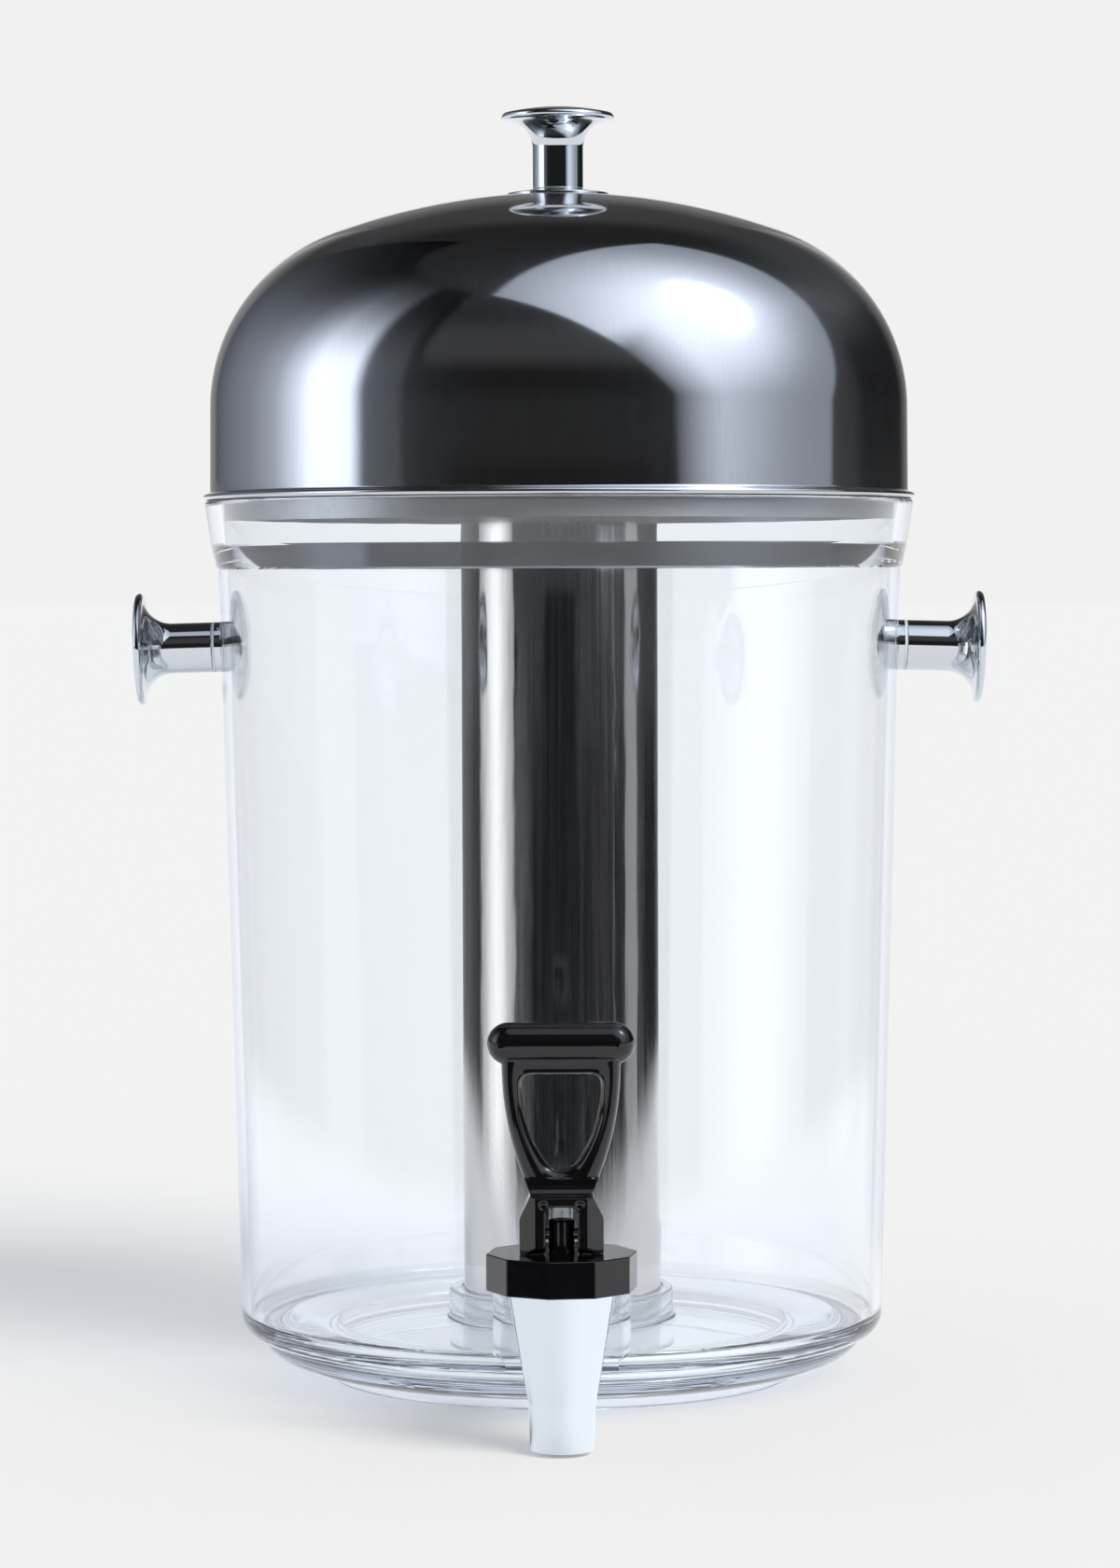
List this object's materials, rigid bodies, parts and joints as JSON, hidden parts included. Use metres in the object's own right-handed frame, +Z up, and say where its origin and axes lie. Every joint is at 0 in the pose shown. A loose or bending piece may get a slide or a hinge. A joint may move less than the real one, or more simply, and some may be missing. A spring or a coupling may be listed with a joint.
{
  "type": "juice dispenser",
  "caption": "Table-top juice dispenser: clear drafted vessel with steel dome lid, standing ice tube, side knob handles and a lever tap with a lifting stem.",
  "frame": {"origin": "on the vessel's axis at table level, in the centre of the foot ring", "axes": "+Z up along the vessel's axis, -Y to the front where the tap is, +X to the right seen from the front"},
  "size_m": [0.2832, 0.2909, 0.4182],
  "materials": {
    "clear_plastic": "clear moulded polycarbonate, polished",
    "lid_steel": "spun stainless steel, polished over fine hairlines",
    "tube_steel": "drawn stainless steel, bright",
    "chrome": "mirror chrome plate",
    "fastener_steel": "turned stainless steel",
    "satin_silver": "satin silver",
    "black_plastic": "black moulded plastic, glossy",
    "clear_silicone": "translucent silicone",
    "white_silicone": "white silicone, matt",
    "white_plastic": "white moulded plastic"
  },
  "bodies": {
    "vessel_group": {"vessel": "clear_plastic", "base_ring": "clear_plastic", "tube_socket": "clear_plastic", "left_handle_knob": "chrome", "left_handle_gasket": "clear_silicone", "left_handle_spacer": "chrome", "left_handle_screw": "fastener_steel", "right_handle_knob": "chrome", "right_handle_gasket": "clear_silicone", "right_handle_spacer": "chrome", "right_handle_screw": "fastener_steel", "tap_body": "satin_silver", "tap_bonnet": "black_plastic", "shank_nut": "white_plastic", "outer_shank_gasket": "white_silicone", "inner_shank_washer": "white_silicone", "stem_spring": "fastener_steel"},
    "lid": {"lid_dome": "lid_steel", "lid_knob": "chrome", "knob_rosette": "chrome", "lid_screw": "fastener_steel", "lid_washer": "clear_silicone"},
    "ice_tube_group": {"ice_tube": "tube_steel", "ice_tube_base": "tube_steel"},
    "stem": {"tap_stem": "black_plastic", "seat_cup": "white_silicone", "lever_pin": "fastener_steel"},
    "lever": {"tap_lever": "black_plastic"}
  },
  "joints": [
    {"name": "lid_lift", "type": "slide", "parent": "vessel_group", "child": "lid", "axis": [0, 0, 1], "range_m": [0, 0.15]},
    {"name": "ice_tube_lift", "type": "slide", "parent": "vessel_group", "child": "ice_tube_group", "axis": [0, 0, 1], "range_m": [0, 0.075]},
    {"name": "stem_lift", "type": "slide", "parent": "vessel_group", "child": "stem", "axis": [0, 0, 1], "range_m": [0, 0.0029], "deforming": ["stem_spring"]},
    {"name": "lever_pull", "type": "hinge", "parent": "stem", "child": "lever", "pos_m": [0, -0.15102, 0.06655], "axis": [1, 0, 0], "range_deg": [0, 35], "stiffness_Nm_per_rad": 0.06, "springref_deg": -28.65}
  ],
  "couplings": [
    {"joint": "stem_lift", "follows": "lever_pull", "m_per_rad": 0.0045837}
  ]
}
